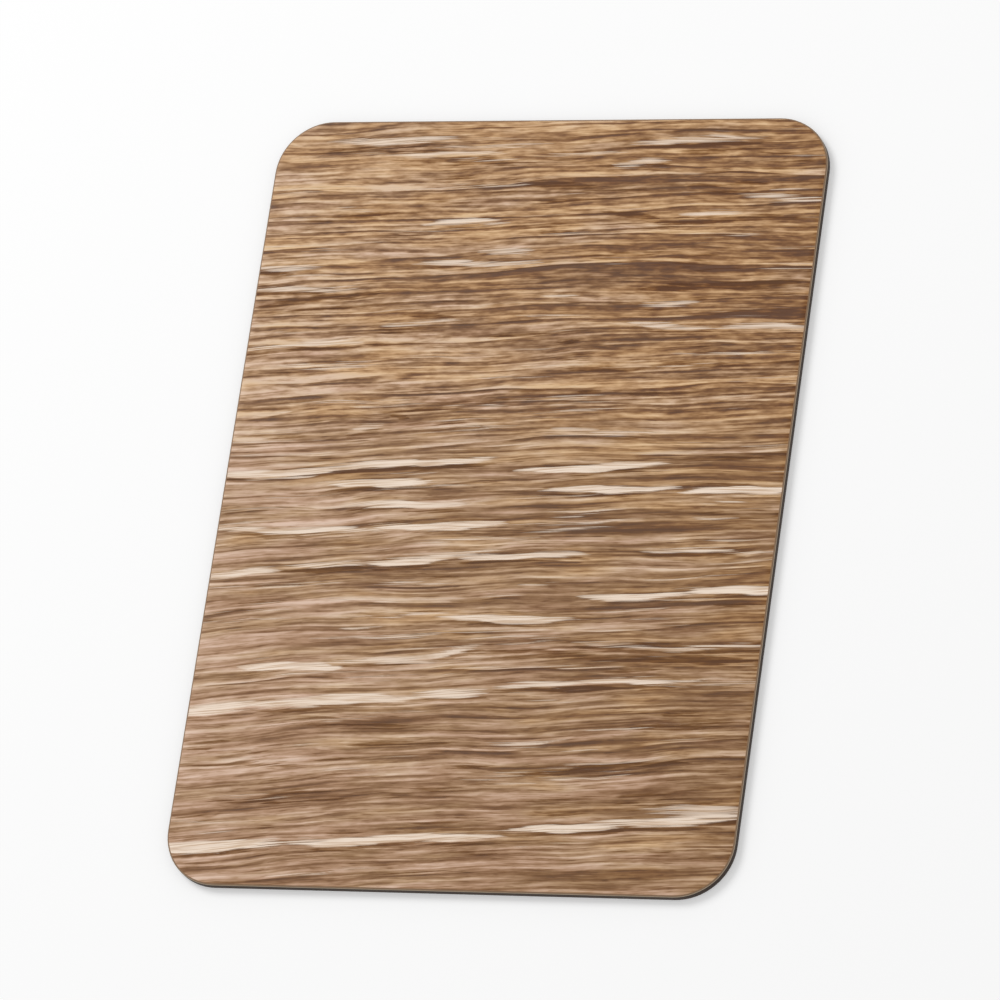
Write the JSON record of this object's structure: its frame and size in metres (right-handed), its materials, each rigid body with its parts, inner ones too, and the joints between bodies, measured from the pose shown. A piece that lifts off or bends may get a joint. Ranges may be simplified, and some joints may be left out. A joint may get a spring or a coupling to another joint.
{
  "type": "decorative laminate sheet",
  "caption": "Small sample-size sheet of wood-grain decorative laminate with rounded corners, an eased face edge and a flat sanded back.",
  "frame": {"origin": "middle of the back face, on the surface that the sheet lies on", "axes": "+Z out of the printed face, Y along the long sides, X across them, the way the printed grain runs"},
  "size_m": [0.05, 0.07, 0.0008],
  "materials": {
    "laminate": "satin embossed face with a brown limed-oak print, dark cut edge and sanded brown back"
  },
  "bodies": {
    "root": {"laminate_sheet": "laminate"}
  },
  "joints": []
}
